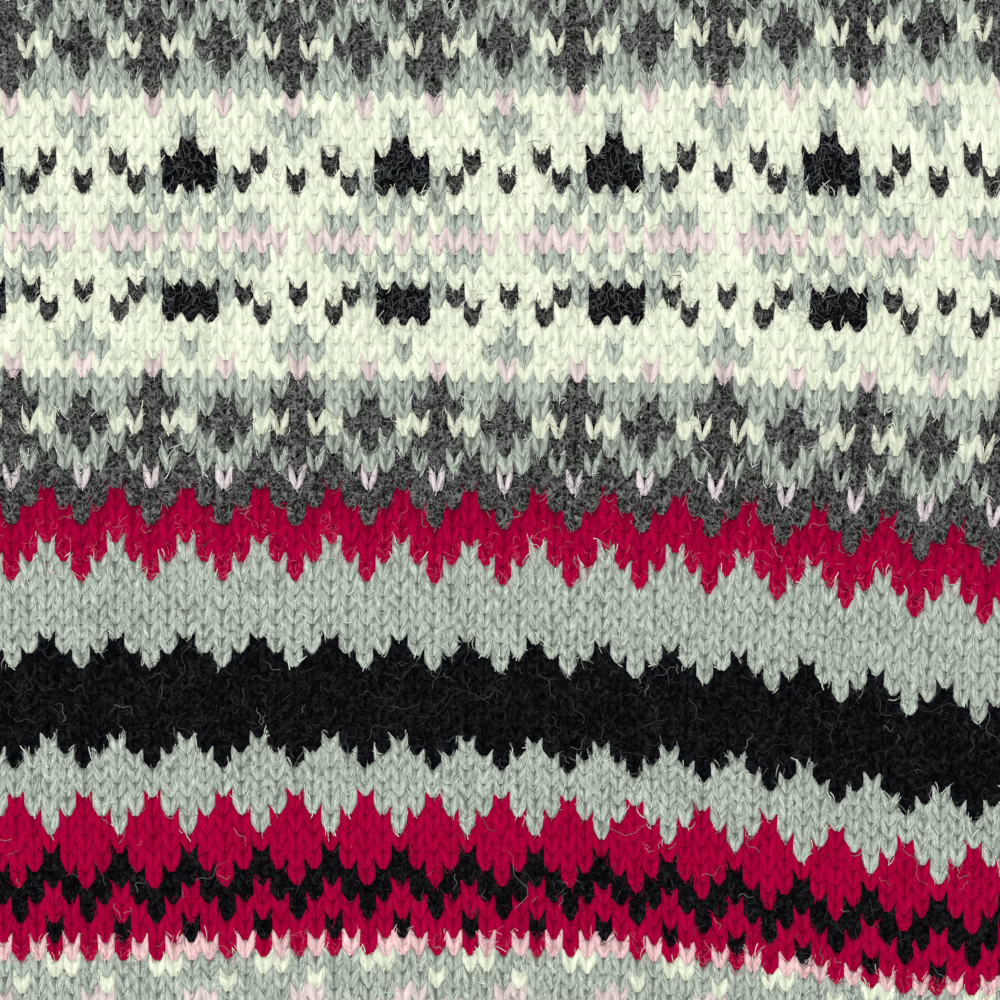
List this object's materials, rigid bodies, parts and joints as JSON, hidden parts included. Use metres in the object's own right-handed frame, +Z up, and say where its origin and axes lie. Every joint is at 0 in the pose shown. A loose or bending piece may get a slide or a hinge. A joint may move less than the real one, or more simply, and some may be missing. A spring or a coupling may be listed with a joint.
{
  "type": "fair isle cardigan",
  "caption": "Round-necked knitted cardigan with fair isle bands, ribbed edges and a buttoned front, laid flat.",
  "frame": {"origin": "middle of the cardigan's box, on the surface that it lies on", "axes": "+Z up from the surface, through the back and then the front; +Y from the hem to the neck; +X toward the wearer's left"},
  "size_m": [1.2932, 0.6212, 0.0123],
  "materials": {
    "wool": "stranded wool knitting, soft and hairy",
    "rib": "ribbed dark wool, soft and hairy",
    "button": "smooth, softly polished"
  },
  "bodies": {
    "root": {"back": "wool", "front_left": "wool", "front_right": "wool", "sleeve_left": "wool", "sleeve_right": "wool", "hem_rib_back": "rib", "hem_rib_front_left": "rib", "hem_rib_front_right": "rib", "cuff_left": "rib", "cuff_right": "rib", "neckband_back": "rib", "neckband_front_left": "rib", "neckband_front_right": "rib", "button_band": "rib", "buttonhole_band": "rib", "button_1": "button", "button_2": "button", "button_3": "button", "button_4": "button", "button_5": "button", "button_6": "button", "button_7": "button"}
  },
  "joints": []
}
